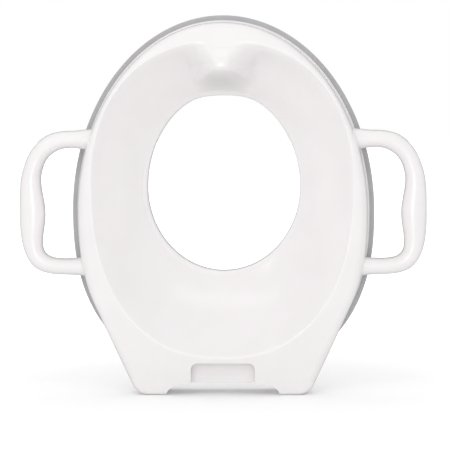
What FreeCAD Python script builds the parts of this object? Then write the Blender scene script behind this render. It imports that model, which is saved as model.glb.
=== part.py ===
import FreeCAD, Part
import math
import os

# A child's training seat that lies on a toilet seat, here standing on its two rear feet as it is stored.
# X runs across the seat, Z up from the floor, and Y away from the viewer. A height on the seat is
# measured from the plane that lies on the toilet, towards the viewer, so it runs along -Y.

V = FreeCAD.Vector

# Base oval: outer edge of the soft ring
BASE_HALF_WIDTH = 142.2
BASE_FRONT_REACH = 183.8
BASE_REAR_REACH = 156.0
BASE_REAR_UP = 14.5
BASE_REAR_POWER = 2.4
BASE_CENTRE = BASE_REAR_UP + BASE_REAR_REACH

# Crest oval: the line where a child's thighs rest, between dish and skirt
CREST_SIDE_INSET = 21.2
CREST_FRONT_INSET = 25.8
CREST_REAR_UP = 36.0
CREST_CENTRE_RISE = 23.5
CREST_POWER = 2.3
CREST_HEIGHT = 38.0
CREST_FRONT_RISE = 4.0
CREST_REAR_RISE = 2.0
CREST_EDGE_REAR = 1.6
CREST_EDGE_FRONT = 4.0

# Opening and its collar
OPENING_HALF_WIDTH = 72.4
OPENING_CENTRE_RISE = 21.5
OPENING_FRONT_REACH = 90.4
OPENING_REAR_REACH = 79.5
OPENING_FLAT_REACH = 88.4
OPENING_CORNER_POWER = 30
LIP_RADIUS = 4.0
DISH_START_HEIGHT = -8.0
COLLAR_DEPTH = 12.0
DISH_BOW = 0.35

# Splash guard: a tongue that runs from the front of the crest over the opening
GUARD_HEIGHT = 48.0
GUARD_TIP_SHARE = 0.58
GUARD_CREST_FLAT = 8.0
GUARD_CREST_FOOT = 42.0
GUARD_TIP_FLAT = 3.0
GUARD_TIP_FOOT = 25.0

# Shell wall, shoulder and skirt
WALL = 2.8
SHOULDER_RADIUS = 10.0
SHOULDER_ROOM_SHARE = 0.7
FACE_SLOPE = 5.0
SKIRT_DRAFT = 2.5
LIP_OUT = 1.6
LIP_THICKNESS = 1.8

# Feet, arches and finger recess of the rear apron
FOOT_HALF_SPAN = 81.5
FOOT_CORNER_RADIUS = 13.0
SOLE_EDGE_RADIUS = 3.5
SOLE_TRIM = 0.3
ARCH_HALF_SPAN = 53.0
ARCH_RADIUS = 13.0
ARCH_HEIGHT = 10.5
RECESS_WIDTH = 60.0
RECESS_TOP = 30.5
RECESS_CORNER = 6.5
RECESS_DEPTH = 7.0

# Soft ring under the skirt
RING_HEIGHT = 6.0
RING_WIDTH = 14.0
RING_REVEAL = 3.6
RING_BEVEL = 1.2

# Rim wall behind the apron, which carries the ring there, and ribs under the dish
RIM_STEP = 1.6
RIB_THICKNESS = 1.8
RIB_FOOT = 9.0
RIB_ANGLES = (33.0, 56.0, 76.0, -30.0, -48.0, -66.0)

# Handles
HANDLE_REACH = 48.3
HANDLE_TOP = 246.7
HANDLE_BOTTOM = 111.7
HANDLE_HEIGHT = 19.0
HANDLE_DEPTH = 23.0
ARM_WIDTH = 15.0
GRIP_WIDTH = 18.0
GRIP_SWELL = 5.5
GRIP_BOW = 1.5
HANDLE_BEND = 27.0
ROOT_FLARE = 5.0
ROOT_FLARE_END = 12.0
ROOT_ARM_START = 22.0
ROOT_DEPTH = 24.0
HANDLE_WALL = 2.4
HANDLE_RIB = 1.6
HANDLE_RIB_SHARES = (0.2, 0.5, 0.8)

POLE_RISE = 9.5
POLE_CENTRE = BASE_CENTRE + POLE_RISE
MID_DEPTH = (GUARD_HEIGHT - (COLLAR_DEPTH - DISH_START_HEIGHT)) / 2


def place(across, up, height):
    return V(across, MID_DEPTH - height, up)


# Ovals of the plan view

def oval(half_width, centre, front, rear, front_power, rear_power):
    return {"a": half_width, "c": centre, "front": front, "rear": rear,
            "fp": front_power, "rp": rear_power, "flat": None}


def shrink(shape, inset):
    small = dict(shape)
    small["a"] -= inset
    small["front"] -= inset
    small["rear"] -= inset
    return small


def level(shape, across, up):
    rise = up - shape["c"]
    reach = shape["front"] if rise > 0 else shape["rear"]
    power = shape["fp"] if rise > 0 else shape["rp"]
    value = (abs(across / shape["a"]) ** power + abs(rise / reach) ** power) ** (1 / power)
    if shape["flat"] and rise > 0:
        blend = OPENING_CORNER_POWER
        value = (value ** blend + (rise / shape["flat"]) ** blend) ** (1 / blend)
    return value


def on_ray(shape, angle):
    near, far = 0.0, 4 * shape["front"]
    for _ in range(50):
        middle = (near + far) / 2
        inside = level(shape, middle * math.cos(angle), POLE_CENTRE + middle * math.sin(angle)) < 1
        near, far = (middle, far) if inside else (near, middle)
    return (near * math.cos(angle), POLE_CENTRE + near * math.sin(angle))


def on_oval(shape, turn):
    c, s = math.cos(turn), math.sin(turn)
    power = shape["fp"] if s > 0 else shape["rp"]
    reach = shape["front"] if s > 0 else shape["rear"]
    across = shape["a"] * math.copysign(abs(c) ** (2 / power), c)
    return (across, shape["c"] + reach * math.copysign(abs(s) ** (2 / power), s))


BASE = oval(BASE_HALF_WIDTH, BASE_CENTRE, BASE_FRONT_REACH, BASE_REAR_REACH, 2, BASE_REAR_POWER)
CREST_CENTRE = BASE_CENTRE + CREST_CENTRE_RISE
CREST_FRONT_REACH = BASE_CENTRE + BASE_FRONT_REACH - CREST_FRONT_INSET - CREST_CENTRE
CREST = oval(BASE_HALF_WIDTH - CREST_SIDE_INSET, CREST_CENTRE, CREST_FRONT_REACH, CREST_CENTRE - CREST_REAR_UP,
             CREST_POWER, CREST_POWER)
OPENING = oval(OPENING_HALF_WIDTH, BASE_CENTRE + OPENING_CENTRE_RISE, OPENING_FRONT_REACH, OPENING_REAR_REACH, 2, 2)
OPENING["flat"] = OPENING_FLAT_REACH
SKIRT = shrink(BASE, RING_REVEAL + LIP_OUT)


# Outline of the skirt: sole, foot corner, flank tangent to the oval, then the oval up to the front

SOLE_SHARES = (0.0, 0.5, 0.85, 0.96)
CORNER_SHARES = (0.0, 0.33, 0.67)
FLANK_SHARES = (0.0, 0.04, 0.16, 0.55)
OVAL_STEPS = 11
OVAL_GRADING = 1.4


def flank_touch():
    best = None
    for i in range(400):
        turn = -math.pi / 2 * (i / 400)
        point = on_oval(SKIRT, turn)
        lean = math.atan2(point[0] - FOOT_HALF_SPAN, point[1])
        if best is None or lean > best[0]:
            best = (lean, turn, point)
    return best


def half_outline():
    """Points and outward directions of the right half, from the middle of the soles to the front."""
    lean, touch_turn, touch = flank_touch()
    turn = math.pi / 2 - lean
    run = FOOT_CORNER_RADIUS * math.tan(turn / 2)
    start = FOOT_HALF_SPAN - run
    rows = [((start * share, -SOLE_TRIM), (0.0, -1.0)) for share in SOLE_SHARES]
    for share in CORNER_SHARES:
        facing = (math.sin(share * turn), -math.cos(share * turn))
        sunk = SOLE_TRIM * (math.cos(share * turn) - math.cos(turn)) / (1 - math.cos(turn))
        spot = (start + FOOT_CORNER_RADIUS * facing[0], FOOT_CORNER_RADIUS * (1 + facing[1]) - sunk)
        rows.append((spot, facing))
    first = (start + FOOT_CORNER_RADIUS * math.sin(turn), FOOT_CORNER_RADIUS * (1 - math.cos(turn)))
    facing = (math.cos(lean), -math.sin(lean))
    for share in FLANK_SHARES:
        spot = (first[0] + (touch[0] - first[0]) * share, first[1] + (touch[1] - first[1]) * share)
        rows.append((spot, facing))
    sweep = math.pi / 2 - touch_turn
    for step in range(OVAL_STEPS, -1, -1):
        turn = math.pi / 2 - sweep * (step / OVAL_STEPS) ** OVAL_GRADING
        before, after = on_oval(SKIRT, turn - 0.01), on_oval(SKIRT, turn + 0.01)
        span = math.hypot(after[0] - before[0], after[1] - before[1])
        facing = ((after[1] - before[1]) / span, -(after[0] - before[0]) / span)
        rows.append((on_oval(SKIRT, turn), facing))
    return rows


def whole_outline():
    right = half_outline()
    left = [((-p[0], p[1]), (-n[0], n[1])) for p, n in reversed(right[1:-1])]
    return right + left


OUTLINE = whole_outline()


# Heights of the seat's upper surface

def smooth(value):
    value = min(1.0, max(0.0, value))
    return value * value * (3 - 2 * value)


def lower_of(one, other):
    """The smaller of two lengths, with a soft change-over."""
    return (one ** -4 + other ** -4) ** -0.25


def crest_height(angle):
    rise = CREST_FRONT_RISE if math.sin(angle) > 0 else CREST_REAR_RISE
    return CREST_HEIGHT + rise * math.sin(angle) ** 2


def crest_edge(angle):
    return CREST_EDGE_REAR + (CREST_EDGE_FRONT - CREST_EDGE_REAR) * smooth(0.5 + 1.5 * math.sin(angle))


def guard_weight(across, share, angle):
    if math.sin(angle) <= 0:
        return 0.0
    spread_out = min(1.0, max(0.0, (share - GUARD_TIP_SHARE) / (1 - GUARD_TIP_SHARE)))
    flat = GUARD_TIP_FLAT + (GUARD_CREST_FLAT - GUARD_TIP_FLAT) * spread_out
    foot = GUARD_TIP_FOOT + (GUARD_CREST_FOOT - GUARD_TIP_FOOT) * spread_out
    return smooth((foot - abs(across)) / (foot - flat))


def guard_height(share, angle):
    rise = smooth(share / GUARD_TIP_SHARE)
    fall = (GUARD_HEIGHT - crest_height(angle)) * smooth((share - GUARD_TIP_SHARE) / (1 - GUARD_TIP_SHARE))
    return DISH_START_HEIGHT + (GUARD_HEIGHT - DISH_START_HEIGHT) * rise - fall


def dish_height(across, share, angle):
    plain = DISH_START_HEIGHT + (crest_height(angle) - DISH_START_HEIGHT) * share * (1 - DISH_BOW + DISH_BOW * share)
    weight = guard_weight(across, share, angle)
    return plain + (guard_height(share, angle) - plain) * weight


def steepness(across, share, angle, length):
    """Straight depth of the wall over its thickness at a place of the dish."""
    low, high = max(share - 0.01, 0.0), share + 0.01
    along = (dish_height(across, high, angle) - dish_height(across, low, angle)) / ((high - low) * length)
    aside = dish_height(across + 0.5, share, angle) - dish_height(across - 0.5, share, angle)
    return min(2.0, math.sqrt(1 + along * along + aside * aside))


def between(a, b, share):
    return (a[0] + (b[0] - a[0]) * share, a[1] + (b[1] - a[1]) * share)


def move(point, facing, distance):
    return (point[0] + facing[0] * distance, point[1] + facing[1] * distance)


# Cross-section of the shell along one ray, from the foot of the collar to the foot of the skirt

DISH_STEPS = 6
SHOULDER_TURNS = (0.0, 35.0, 65.0, 90.0)
LIP, DISH = 1, 3
CREST_IN = DISH + DISH_STEPS
CREST_TOP, CREST_OUT, SHOULDER = CREST_IN + 1, CREST_IN + 2, CREST_IN + 3
BROW = SHOULDER + len(SHOULDER_TURNS) - 1
CORNER_DEPTH = 1.25
INNER_ROWS = (0, LIP, DISH, DISH + 2, DISH + 4, CREST_TOP, SHOULDER, SHOULDER + 2, BROW, BROW + 1)


def collar_rows(start, ray, depth):
    radius = LIP_RADIUS - depth
    hole = move(start, ray, -radius)
    foot, turn = DISH_START_HEIGHT - COLLAR_DEPTH, DISH_START_HEIGHT - LIP_RADIUS
    bend = math.sqrt(0.5)
    return [place(*hole, foot), place(*hole, turn), place(*move(start, ray, -radius * bend), turn + radius * bend)]


def dish_rows(start, inner, length, angle, depth):
    rows = []
    for step in range(DISH_STEPS + 1):
        spot = between(start, inner, step / DISH_STEPS)
        share = math.dist(start, spot) / length
        down = depth * steepness(spot[0], share, angle, length)
        rows.append(place(*spot, dish_height(spot[0], share, angle) - down))
    return rows


def crest_rows(crest, face_end, inner_height, angle, depth):
    """Top and outer side of the rounded crest edge."""
    gap = math.dist(crest, face_end)
    edge = crest_edge(angle)
    outer_edge = edge * gap / (gap + edge)
    top = crest_height(angle)
    outer_height = top - outer_edge * math.tan(math.radians(FACE_SLOPE))
    bend = 1 - guard_weight(crest[0], 1.0, angle)
    drop = (2 * top - inner_height - outer_height) / 4 * bend + CORNER_DEPTH * depth
    outer = between(crest, face_end, outer_edge / gap)
    return [place(*crest, top - drop), place(*outer, outer_height - depth)]


def section(outer, facing, depth):
    angle = math.atan2(outer[1] - POLE_CENTRE, outer[0])
    ray = (math.cos(angle), math.sin(angle))
    hole, crest = on_ray(OPENING, angle), on_ray(CREST, angle)
    start = move(hole, ray, LIP_RADIUS)
    length = math.dist(start, crest)
    inner = move(crest, ray, -crest_edge(angle))
    top = crest_height(angle)
    sole = smooth(facing[1] + 1)
    radius = SOLE_EDGE_RADIUS + (SHOULDER_RADIUS - SOLE_EDGE_RADIUS) * sole
    brow = move(outer, facing, -sole * math.tan(math.radians(SKIRT_DRAFT)) * (top - radius - RING_HEIGHT))
    plan_radius = lower_of(radius, SHOULDER_ROOM_SHARE * math.dist(crest, brow))
    face_end = move(brow, facing, -plan_radius)
    edge_height = top - math.tan(math.radians(FACE_SLOPE)) * math.dist(face_end, crest)
    rows = collar_rows(start, ray, depth) + dish_rows(start, inner, length, angle, depth)
    inner_share = 1 - crest_edge(angle) / length
    rows += crest_rows(crest, face_end, dish_height(inner[0], inner_share, angle), angle, depth)
    out_radius, down_radius = max(plan_radius - depth, 0.15 * plan_radius), radius - depth
    for turn in SHOULDER_TURNS:
        out, down = math.sin(math.radians(turn)), math.cos(math.radians(turn))
        rows.append(place(*move(face_end, facing, out_radius * out), edge_height - radius + down_radius * down))
    return rows + [place(*move(outer, facing, out_radius - plan_radius), RING_HEIGHT)]


# Surfaces through rings of points

def parameters(spots):
    """Share of the way round a closed loop of plan points at which each of them lies."""
    steps = [0.0]
    loop = spots + spots[:1]
    for here, there in zip(loop, loop[1:]):
        steps.append(steps[-1] + math.dist(here, there))
    return [step / steps[-1] for step in steps]


AROUND = parameters([spot for spot, facing in OUTLINE])


def ring_curve(points, around):
    curve = Part.BSplineCurve()
    curve.interpolate(Points=points, PeriodicFlag=True, Parameters=around)
    return curve


def skin(rings):
    """One smooth face through closed rings of points."""
    curves = [ring_curve(points, AROUND) for points in rings]
    rows = [curve.getPoles() for curve in curves]
    reach = [0.0]
    for one, two in zip(rows, rows[1:]):
        reach.append(reach[-1] + sum(a.distanceToPoint(b) for a, b in zip(one, two)))
    reach = [value / reach[-1] for value in reach]
    poles = []
    for column in zip(*rows):
        line = Part.BSplineCurve()
        line.interpolate(Points=list(column), PeriodicFlag=False, Parameters=reach)
        poles.append(line.getPoles())
    surface = Part.BSplineSurface()
    surface.buildFromPolesMultsKnots(poles, curves[0].getMultiplicities(), line.getMultiplicities(),
                                     curves[0].getKnots(), line.getKnots(), True, False, 3, line.Degree)
    return surface.toShape()


def lowered(points, drop):
    return [V(point.x, point.y + drop, point.z) for point in points]


def toward_pole(points, inset):
    moved = []
    for point in points:
        share = 1 - inset / math.hypot(point.x, point.z - POLE_CENTRE)
        moved.append(V(point.x * share, point.y, POLE_CENTRE + (point.z - POLE_CENTRE) * share))
    return moved


def skin_faces(depth, drop):
    """Upper skin a depth inside the real one, its two ends moved down, with its end rings."""
    columns = [section(*spot, depth) for spot in OUTLINE]
    rings = [list(ring) for ring in zip(*columns)]
    rings[0], rings[-1] = lowered(rings[0], drop), lowered(rings[-1], drop)
    if depth > 0:
        bands = [[rings[row] for row in INNER_ROWS]]
        faces = []
    else:
        bands = [rings[:DISH + 1], rings[CREST_IN:]]
        faces = [skin(rings[DISH:CREST_IN + 1])]
    for band in bands:
        faces += [skin(pair) for pair in zip(band, band[1:])]
    return faces, rings[0], rings[-1]


def solid_from(faces):
    shell = Part.makeShell(faces)
    shell.sewShape(0.001)
    solid = Part.makeSolid(shell)
    if solid.Volume < 0:
        solid.reverse()
    return solid


def thin_shell():
    outer, outer_collar, outer_foot = skin_faces(0.0, 0.0)
    inner, inner_collar, inner_foot = skin_faces(WALL, 0.0)
    return solid_from(outer + inner + [skin([outer_collar, inner_collar]), skin([outer_foot, inner_foot])])


def filling(depth):
    """Solid of all that lies under the skin at a depth, down past the collar and the skirt."""
    faces, collar, foot = skin_faces(depth, 4 * WALL)
    collar_foot = toward_pole(collar, -2 * WALL)
    skirt_foot = toward_pole(foot, 3 * WALL)
    return solid_from(faces + [skin([foot, skirt_foot]), skin([skirt_foot, collar_foot]), skin([collar_foot, collar])])


# Cut-outs of the rear apron

def prism(outline, low, high):
    face = Part.Face(Part.Wire(outline))
    return face.extrude(V(0, low - high, 0))


def arch_cut(depth):
    """Arch between the feet, grown by a depth on all sides but the floor."""
    span, top, radius = ARCH_HALF_SPAN + depth, ARCH_HEIGHT + depth, ARCH_RADIUS + depth
    low = -2 * WALL
    height = RING_HEIGHT - 6 * WALL
    a, b = place(-span, low, height), place(-span, max(top - radius, 0), height)
    left_top, right_top = place(-span + radius, top, height), place(span - radius, top, height)
    c, d = place(span, b.z, height), place(span, low, height)
    bend = math.sqrt(0.5)
    left_mid = place(-span + radius * (1 - bend), b.z + (top - b.z) * bend, height)
    right_mid = place(span - radius * (1 - bend), b.z + (top - b.z) * bend, height)
    edges = [Part.LineSegment(a, b).toShape(), Part.Arc(b, left_mid, left_top).toShape()]
    edges += [Part.LineSegment(left_top, right_top).toShape(), Part.Arc(right_top, right_mid, c).toShape()]
    edges += [Part.LineSegment(c, d).toShape(), Part.LineSegment(d, a).toShape()]
    return prism(edges, height, GUARD_HEIGHT)


def recess_cut(depth):
    """Finger recess in the face of the apron, grown by a depth."""
    half, top = RECESS_WIDTH / 2 + depth, RECESS_TOP + depth
    floor_height = CREST_HEIGHT - RECESS_DEPTH - depth
    box = Part.makeBox(2 * half, GUARD_HEIGHT, top + 2 * WALL)
    box.translate(V(-half, MID_DEPTH - floor_height - GUARD_HEIGHT, -2 * WALL))
    uprights = [edge for edge in box.Edges if edge.BoundBox.YLength > 1 and edge.BoundBox.ZMin > 0]
    return box.makeFillet(RECESS_CORNER + depth, uprights)


def apron_walls(filled):
    """Walls that close the shell round the arch and the recess."""
    walls = arch_cut(WALL).fuse(recess_cut(WALL)).common(filled)
    return walls.cut(arch_cut(0)).cut(recess_cut(0))


# Handles

SIDE_TURNS = (22.5, 45.0, 67.5)
GRIP_SHARES = (0.0, 0.2, 0.4, 0.6, 0.8, 1.0)
SECTION_POWER = 0.8


def handle_path():
    """Stations along one handle: centre, direction, width in the plan."""
    top, low = HANDLE_TOP - ARM_WIDTH / 2, HANDLE_BOTTOM + ARM_WIDTH / 2
    grip = BASE_HALF_WIDTH + HANDLE_REACH - GRIP_WIDTH / 2
    root = BASE_HALF_WIDTH - ROOT_DEPTH
    corner = grip - GRIP_BOW - HANDLE_BEND
    arm = [(root, ROOT_FLARE), (root + ROOT_FLARE_END, ROOT_FLARE), (root + ROOT_ARM_START, 0.0), (corner, 0.0)]
    rows = [((across, top), 0.0, ARM_WIDTH + flare) for across, flare in arm]
    for turn in SIDE_TURNS:
        angle = math.radians(90 - turn)
        spot = (corner + HANDLE_BEND * math.cos(angle), top - HANDLE_BEND + HANDLE_BEND * math.sin(angle))
        rows.append((spot, -math.radians(turn), ARM_WIDTH + (GRIP_WIDTH - ARM_WIDTH) * turn / 90))
    upper, lower = top - HANDLE_BEND, low + HANDLE_BEND
    for share in GRIP_SHARES:
        swell = GRIP_SWELL * math.sin(math.pi * share) ** 2
        bow = GRIP_BOW * (1 - math.sin(math.pi * share))
        spot = (grip - swell / 2 - bow, upper + (lower - upper) * share)
        rows.append((spot, -math.pi / 2, GRIP_WIDTH + swell))
    for turn in SIDE_TURNS:
        angle = math.radians(-turn)
        spot = (corner + HANDLE_BEND * math.cos(angle), low + HANDLE_BEND + HANDLE_BEND * math.sin(angle))
        rows.append((spot, -math.radians(90 + turn), GRIP_WIDTH - (GRIP_WIDTH - ARM_WIDTH) * turn / 90))
    rows += [((across, low), -math.pi, ARM_WIDTH + flare) for across, flare in reversed(arm)]
    return rows


def section_point(centre, turn, out, height):
    return place(centre[0] - out * math.sin(turn), centre[1] + out * math.cos(turn), height)


def rounded(half_width, half_depth, angle):
    c, s = math.cos(angle), math.sin(angle)
    out = half_width * math.copysign(abs(c) ** SECTION_POWER, c)
    return out, HANDLE_HEIGHT + half_depth * math.copysign(abs(s) ** SECTION_POWER, s)


def handle_section(centre, turn, width):
    turns = [2 * math.pi * i / 12 for i in range(12)]
    points = [section_point(centre, turn, *rounded(width / 2, HANDLE_DEPTH / 2, angle)) for angle in turns]
    return Part.makePolygon(points + points[:1])


def channel_section(centre, turn, width):
    """Section of the hollow that is open at the back of the handle."""
    half, back = width / 2 - HANDLE_WALL, HANDLE_HEIGHT - HANDLE_DEPTH
    turns = [math.pi * i / 4 for i in range(5)]
    points = [section_point(centre, turn, *rounded(half, HANDLE_DEPTH / 2 - HANDLE_WALL, angle)) for angle in turns]
    points += [section_point(centre, turn, -half, back), section_point(centre, turn, half, back)]
    return Part.makePolygon(points + points[:1])


def handle_ribs():
    """Cross ribs that stay in the channel of the grip."""
    upper, lower = HANDLE_TOP - ARM_WIDTH / 2 - HANDLE_BEND, HANDLE_BOTTOM + ARM_WIDTH / 2 + HANDLE_BEND
    across = BASE_HALF_WIDTH + HANDLE_REACH - 2 * GRIP_WIDTH
    ribs = []
    for share in HANDLE_RIB_SHARES:
        rib = Part.makeBox(3 * GRIP_WIDTH, HANDLE_DEPTH, HANDLE_RIB)
        rib.translate(place(across, upper + (lower - upper) * share - HANDLE_RIB / 2, HANDLE_HEIGHT + HANDLE_DEPTH / 2))
        ribs.append(rib)
    return ribs


def handle():
    path = handle_path()
    body = Part.makeLoft([handle_section(*row) for row in path], True, False)
    channel = Part.makeLoft([channel_section(*row) for row in path[2:-2]], True, False)
    return body.cut(channel.cut(handle_ribs()))


def mirrored(shape):
    return shape.mirror(V(0, 0, 0), V(1, 0, 0))


# Bands that follow the base oval

PLAN_STEPS = 32


PLAN_TURNS = [2 * math.pi * i / PLAN_STEPS for i in range(PLAN_STEPS)]
PLAN_AROUND = parameters([on_ray(BASE, turn) for turn in PLAN_TURNS])


def plan_curve(inset, height):
    shape = shrink(BASE, inset)
    return ring_curve([place(*on_ray(shape, turn), height) for turn in PLAN_TURNS], PLAN_AROUND)


def ruled_band(one, other):
    """Face between two closed curves of the same make."""
    poles = [list(pair) for pair in zip(one.getPoles(), other.getPoles())]
    surface = Part.BSplineSurface()
    surface.buildFromPolesMultsKnots(poles, one.getMultiplicities(), [2, 2], one.getKnots(), [0.0, 1.0],
                                     True, False, 3, 1)
    return surface.toShape()


def plan_band(profile):
    """Solid of a profile of insets and heights carried round the base oval."""
    curves = [plan_curve(inset, height) for inset, height in profile]
    faces = []
    for here, there in zip(range(len(profile)), [*range(1, len(profile)), 0]):
        if profile[here][1] == profile[there][1]:
            wires = [Part.Wire(curves[i].toShape()) for i in (here, there)]
            faces.append(Part.makeFace(wires, "Part::FaceMakerBullseye"))
        else:
            faces.append(ruled_band(curves[here], curves[there]))
    return solid_from(faces)


def non_skid_ring():
    return plan_band([(0, RING_BEVEL), (0, RING_HEIGHT), (RING_WIDTH, RING_HEIGHT), (RING_WIDTH, 0), (RING_BEVEL, 0)])


def lip():
    """Narrow flange at the skirt's foot, over the outer part of the ring."""
    top = RING_HEIGHT + LIP_THICKNESS
    inner = RING_REVEAL + LIP_OUT + WALL / 2
    return plan_band([(RING_REVEAL, RING_HEIGHT), (RING_REVEAL, top), (inner, top), (inner, RING_HEIGHT)])


def rim_wall(filled):
    """Wall behind the apron that follows the base oval between the lip and the apron's face."""
    outer = RING_REVEAL + LIP_OUT + RIM_STEP
    wall = plan_band([(outer, RING_HEIGHT), (outer, CREST_HEIGHT), (outer + WALL, CREST_HEIGHT),
                      (outer + WALL, RING_HEIGHT)])
    touch = flank_touch()[2]
    below = Part.makeBox(2 * BASE_HALF_WIDTH, CREST_HEIGHT, touch[1])
    below.translate(place(-BASE_HALF_WIDTH, 0, CREST_HEIGHT))
    return wall.common(below).common(filled).cut(recess_cut(WALL / 2))


def underside_ribs(filled):
    """Radial ribs between dish and skirt."""
    ribs = []
    for degrees in RIB_ANGLES:
        for angle in (math.radians(degrees), math.radians(180 - degrees)):
            rib = Part.makeBox(BASE_FRONT_REACH, GUARD_HEIGHT - RIB_FOOT, RIB_THICKNESS)
            rib.translate(V(0, MID_DEPTH - GUARD_HEIGHT, -RIB_THICKNESS / 2))
            rib.rotate(V(0, 0, 0), V(0, -1, 0), math.degrees(angle))
            rib.translate(V(0, 0, POLE_CENTRE))
            ribs.append(rib)
    return Part.makeCompound(ribs).common(filled)


def floor_cut():
    """Block below the floor, which trims the soles flat."""
    block = Part.makeBox(2 * BASE_HALF_WIDTH, 4 * GUARD_HEIGHT, FOOT_CORNER_RADIUS)
    block.translate(V(-BASE_HALF_WIDTH, -2 * GUARD_HEIGHT, -FOOT_CORNER_RADIUS))
    return block


def seat_shell():
    filled = filling(WALL / 2)
    shell = thin_shell().cut([arch_cut(0), recess_cut(0), floor_cut()])
    grip = max(handle().cut(filled).Solids, key=lambda solid: solid.Volume)
    return shell.fuse([apron_walls(filled), grip, mirrored(grip), lip(), rim_wall(filled), underside_ribs(filled)])


def main():
    os.makedirs("parts", exist_ok=True)
    for name, shape in (("seat_shell", seat_shell()), ("non_skid_ring", non_skid_ring())):
        solid = shape.Solids[0] if len(shape.Solids) == 1 else shape
        print(name, len(shape.Solids), "valid", solid.isValid(), "volume", round(shape.Volume))
        solid.exportStep("parts/" + name + ".step")


main()
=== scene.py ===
import logging
import math
from dataclasses import dataclass, field, replace
from enum import Enum

import bmesh
import bpy
import numpy as np
from mathutils import Matrix, Vector


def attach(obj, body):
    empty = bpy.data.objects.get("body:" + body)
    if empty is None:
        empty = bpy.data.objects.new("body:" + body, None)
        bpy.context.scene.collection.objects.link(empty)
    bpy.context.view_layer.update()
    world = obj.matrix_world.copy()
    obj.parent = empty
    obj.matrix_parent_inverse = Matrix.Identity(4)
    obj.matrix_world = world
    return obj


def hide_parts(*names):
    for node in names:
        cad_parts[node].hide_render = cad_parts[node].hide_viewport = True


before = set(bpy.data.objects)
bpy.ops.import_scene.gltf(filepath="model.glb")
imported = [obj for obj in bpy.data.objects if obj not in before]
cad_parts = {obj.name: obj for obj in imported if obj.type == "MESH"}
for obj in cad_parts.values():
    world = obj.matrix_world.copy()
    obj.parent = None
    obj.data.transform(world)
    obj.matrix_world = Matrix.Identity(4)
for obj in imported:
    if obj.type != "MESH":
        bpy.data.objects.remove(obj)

LOG = logging.getLogger("training_seat")
ROOT = "root"
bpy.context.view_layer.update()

Point = tuple[float, float]
Spot = tuple[float, float, float]
Obj = bpy.types.Object
Tree = bpy.types.NodeTree

# A quarter turn
QUARTER = math.pi / 2

# Distance within which two points of a mesh are one
MERGE = 1e-6

# Power of the soft change-over between two lengths
CHANGE_POWER = 4

# Share of the marks that a finish spreads its colours and its gloss over, and the height of its relief
COLOUR_RANGE = (0.35, 0.65)
GLOSS_RANGE = (0.3, 0.7)
RELIEF = 0.0002

# Noises of a moulded surface: how fine the detail of each is, and the scale of the handling marks
GRAIN_DETAIL = 2.0
WAVE_DETAIL = 1.0
MARK_DETAIL = 5.0
MARK_SCALE = 38.0


class Cut(Enum):
    """How one mesh is combined with another."""

    JOIN = "UNION"
    KEEP_COMMON = "INTERSECT"
    TAKE_AWAY = "DIFFERENCE"


# Small helpers for plan geometry

def smooth(value: float) -> float:
    """Ease a value from 0 to 1 with level ends."""
    value = min(1.0, max(0.0, value))
    return value * value * (3 - 2 * value)


def lower_of(one: float, other: float) -> float:
    """Return the smaller of two lengths with a soft change-over."""
    return (one ** -CHANGE_POWER + other ** -CHANGE_POWER) ** (-1 / CHANGE_POWER)


def between(a: Point, b: Point, share: float) -> Point:
    """Return the point at a share of the way from a to b."""
    return (a[0] + (b[0] - a[0]) * share, a[1] + (b[1] - a[1]) * share)


def move(point: Point, facing: Point, distance: float) -> Point:
    """Return a plan point moved along a direction."""
    return (point[0] + facing[0] * distance, point[1] + facing[1] * distance)


def spread(start: float, stop: float, count: int) -> list[float]:
    """Return count evenly spaced values from start up to, but without, stop."""
    return [start + (stop - start) * i / count for i in range(count)]


@dataclass(frozen=True)
class Oval:
    """A plan oval made of two superellipse halves.

    Args:
        half_width: half of its width across the seat.
        centre: height of its widest line above the floor.
        front: reach above that line.
        rear: reach below that line.
        front_power: superellipse power of the upper half.
        rear_power: superellipse power of the lower half.
        flat: reach at which the upper half is cut flat, or 0.
        corner_power: how sharply the cut meets the oval.
        search_reach: end of the search along a ray, in reaches of the upper half.
        halvings: steps of that search.
    """

    half_width: float
    centre: float
    front: float
    rear: float
    front_power: float = 2.0
    rear_power: float = 2.0
    flat: float = 0.0
    corner_power: float = 30.0
    search_reach: float = 4.0
    halvings: int = 40

    def inset(self, distance: float) -> "Oval":
        """Return the oval with every reach made shorter by a distance."""
        return replace(self, half_width=self.half_width - distance, front=self.front - distance,
                       rear=self.rear - distance)

    def level(self, across: float, up: float) -> float:
        """Return 1 on the oval, less inside it and more outside it.

        Args:
            across: place across the seat.
            up: height above the floor.

        Returns:
            the oval's own measure of distance.
        """
        rise = up - self.centre
        reach, power = (self.front, self.front_power) if rise > 0 else (self.rear, self.rear_power)
        value = (abs(across / self.half_width) ** power + abs(rise / reach) ** power) ** (1 / power)
        if self.flat and rise > 0:
            blend = self.corner_power
            value = (value ** blend + (rise / self.flat) ** blend) ** (1 / blend)
        return value

    def on_ray(self, angle: float, pole: float) -> Point:
        """Return where a ray from the pole meets the oval.

        Args:
            angle: turn of the ray in the plan.
            pole: height of the ray's start above the floor.

        Returns:
            the point in the plan.
        """
        near, far = 0.0, self.search_reach * self.front
        for _ in range(self.halvings):
            middle = (near + far) / 2
            inside = self.level(middle * math.cos(angle), pole + middle * math.sin(angle)) < 1
            near, far = (middle, far) if inside else (near, middle)
        return (near * math.cos(angle), pole + near * math.sin(angle))

    def at(self, turn: float) -> Point:
        """Return the point at a turn of the superellipse.

        Args:
            turn: angle of the curve's parameter.

        Returns:
            the point in the plan.
        """
        c, s = math.cos(turn), math.sin(turn)
        reach, power = (self.front, self.front_power) if s > 0 else (self.rear, self.rear_power)
        across = self.half_width * math.copysign(abs(c) ** (2 / power), c)
        return (across, self.centre + reach * math.copysign(abs(s) ** (2 / power), s))


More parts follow.
